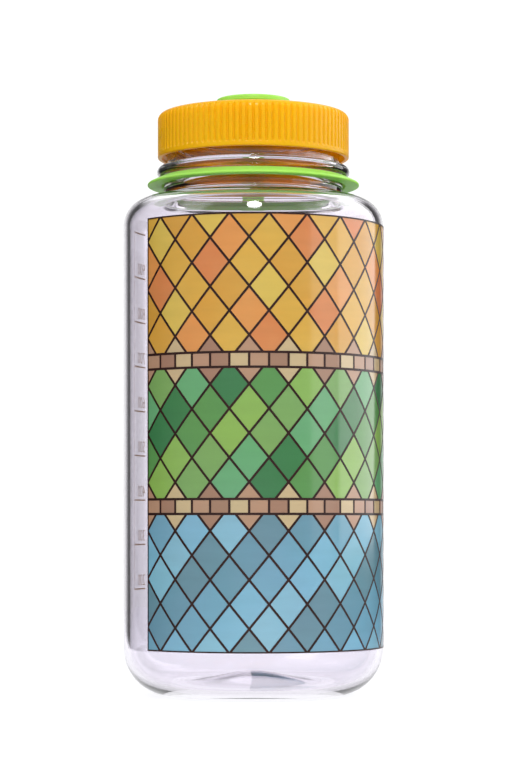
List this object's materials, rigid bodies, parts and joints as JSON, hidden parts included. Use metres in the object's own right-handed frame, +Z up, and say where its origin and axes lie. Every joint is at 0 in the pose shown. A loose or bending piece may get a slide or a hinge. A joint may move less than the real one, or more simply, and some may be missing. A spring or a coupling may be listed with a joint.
{
  "type": "water bottle",
  "caption": "Clear wide-mouth drinking bottle with a rounded shoulder, a ribbed screw cap tethered by a flexible strap, and a plain leaded-glass pattern printed round its wall.",
  "frame": {"origin": "centre of the plane that the bottle stands on, on the bottle's axis", "axes": "+Z up the bottle's axis to the cap, -Y to the front view's side, +Y to the strap's arm, +X to the right of the front view"},
  "size_m": [0.0916, 0.0918, 0.2106],
  "materials": {
    "clear_plastic": "clear copolyester, polished",
    "cap_plastic": "moulded polypropylene, satin",
    "strap_plastic": "flexible moulded plastic, satin",
    "print_colour": "baked enamel ink",
    "print_line": "baked enamel ink",
    "print_scale": "baked enamel ink"
  },
  "bodies": {
    "bottle": {"bottle": "clear_plastic", "art_print": "print_colour", "art_border": "print_line", "volume_scale": "print_scale"},
    "pivot_button": {"pivot_button": "strap_plastic"},
    "cap": {"cap": "cap_plastic"},
    "neck_ring": {"neck_ring": "strap_plastic", "strap_arm": "strap_plastic"},
    "swivel_eye": {"swivel_eye": "strap_plastic"}
  },
  "joints": [
    {"name": "cap_lift", "type": "slide", "parent": "bottle", "child": "pivot_button", "axis": [0, 0, 1], "range_m": [0, 0.00635]},
    {"name": "cap_turn", "type": "hinge", "parent": "pivot_button", "child": "cap", "pos_m": [0, 0, 0.1881], "axis": [0, 0, 1], "range_deg": [0, 540]},
    {"name": "strap_swing", "type": "hinge", "parent": "bottle", "child": "neck_ring", "pos_m": [0, 0, 0.18], "axis": [0, 0, 1], "continuous": true},
    {"name": "strap_lift", "type": "slide", "parent": "neck_ring", "child": "swivel_eye", "axis": [0, 0, 1], "range_m": [0, 0.00635], "deforming": ["strap_arm"]}
  ],
  "couplings": [
    {"joint": "cap_lift", "follows": "cap_turn", "m_per_rad": 0.00067323},
    {"joint": "strap_lift", "follows": "cap_turn", "m_per_rad": 0.00067323}
  ]
}
